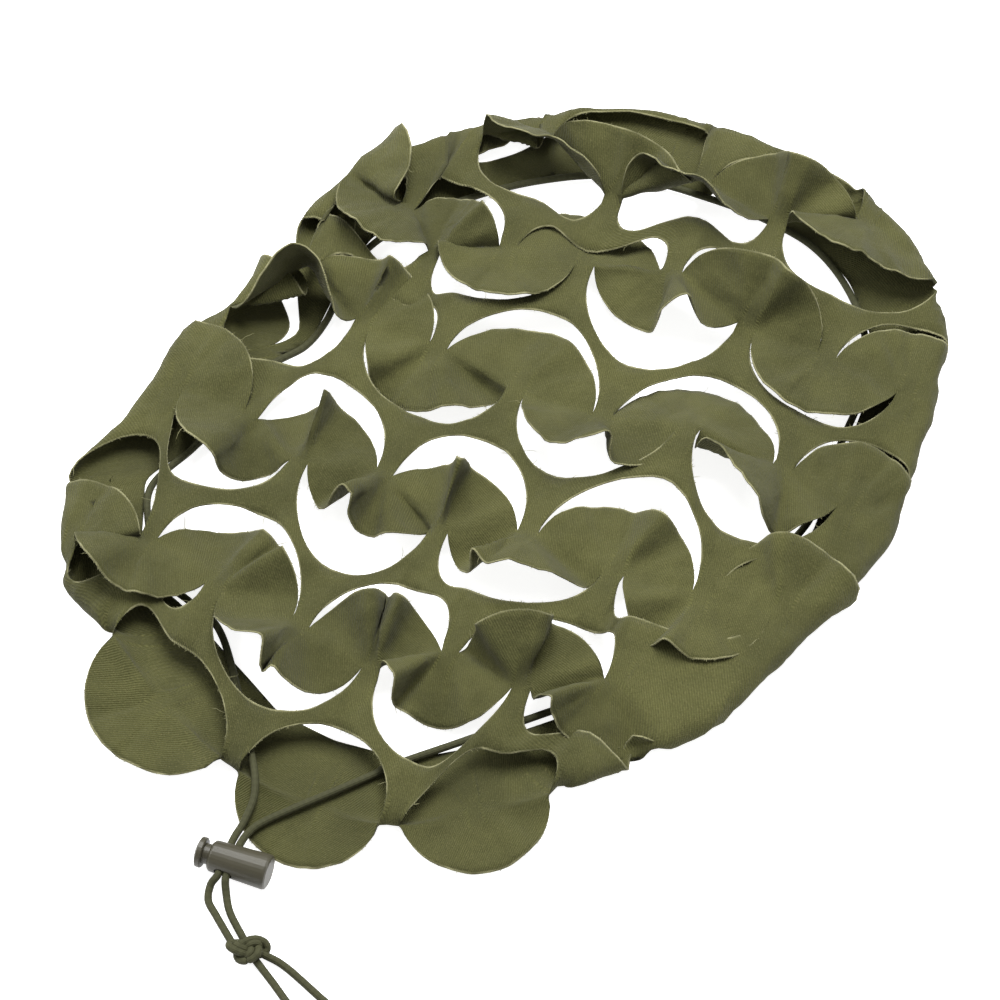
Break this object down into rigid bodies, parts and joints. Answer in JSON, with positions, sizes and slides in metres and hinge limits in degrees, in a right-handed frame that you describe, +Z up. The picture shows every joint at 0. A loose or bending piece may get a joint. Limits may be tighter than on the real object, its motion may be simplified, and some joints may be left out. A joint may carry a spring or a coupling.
{
  "type": "helmet cover",
  "caption": "leaf-cut camouflage net cover for a helmet, lying collapsed with its edge turned in under a fold, with an elastic drawcord and a spring cord lock",
  "frame": {"origin": "on the surface that the cover lies on, under the middle of the cover's outline", "axes": "X along the rows of cuts, Y across the rows with the cord lock at -Y, Z up from the surface"},
  "size_m": [0.3172, 0.457, 0.0399],
  "materials": {
    "twill": "olive drab cotton twill with a fine diagonal rib, matte, its cut edges frayed",
    "cord": "olive braided elastic cord, matte",
    "lock": "grey-olive moulded plastic with a soft gloss"
  },
  "bodies": {
    "cover": {"cover": "twill", "drawcord": "cord", "cord_left": "cord", "cord_right": "cord", "lock_barrel": "lock", "knot": "cord", "tail_left": "cord", "tail_right": "cord"},
    "plunger": {"lock_plunger": "lock"}
  },
  "joints": [
    {"name": "plunger_slide", "type": "slide", "parent": "cover", "child": "plunger", "axis": [0.9962, 0.0872, 0], "range_m": [0, 0.0024], "stiffness_N_per_m": 1200, "springref_m": -0.001}
  ]
}
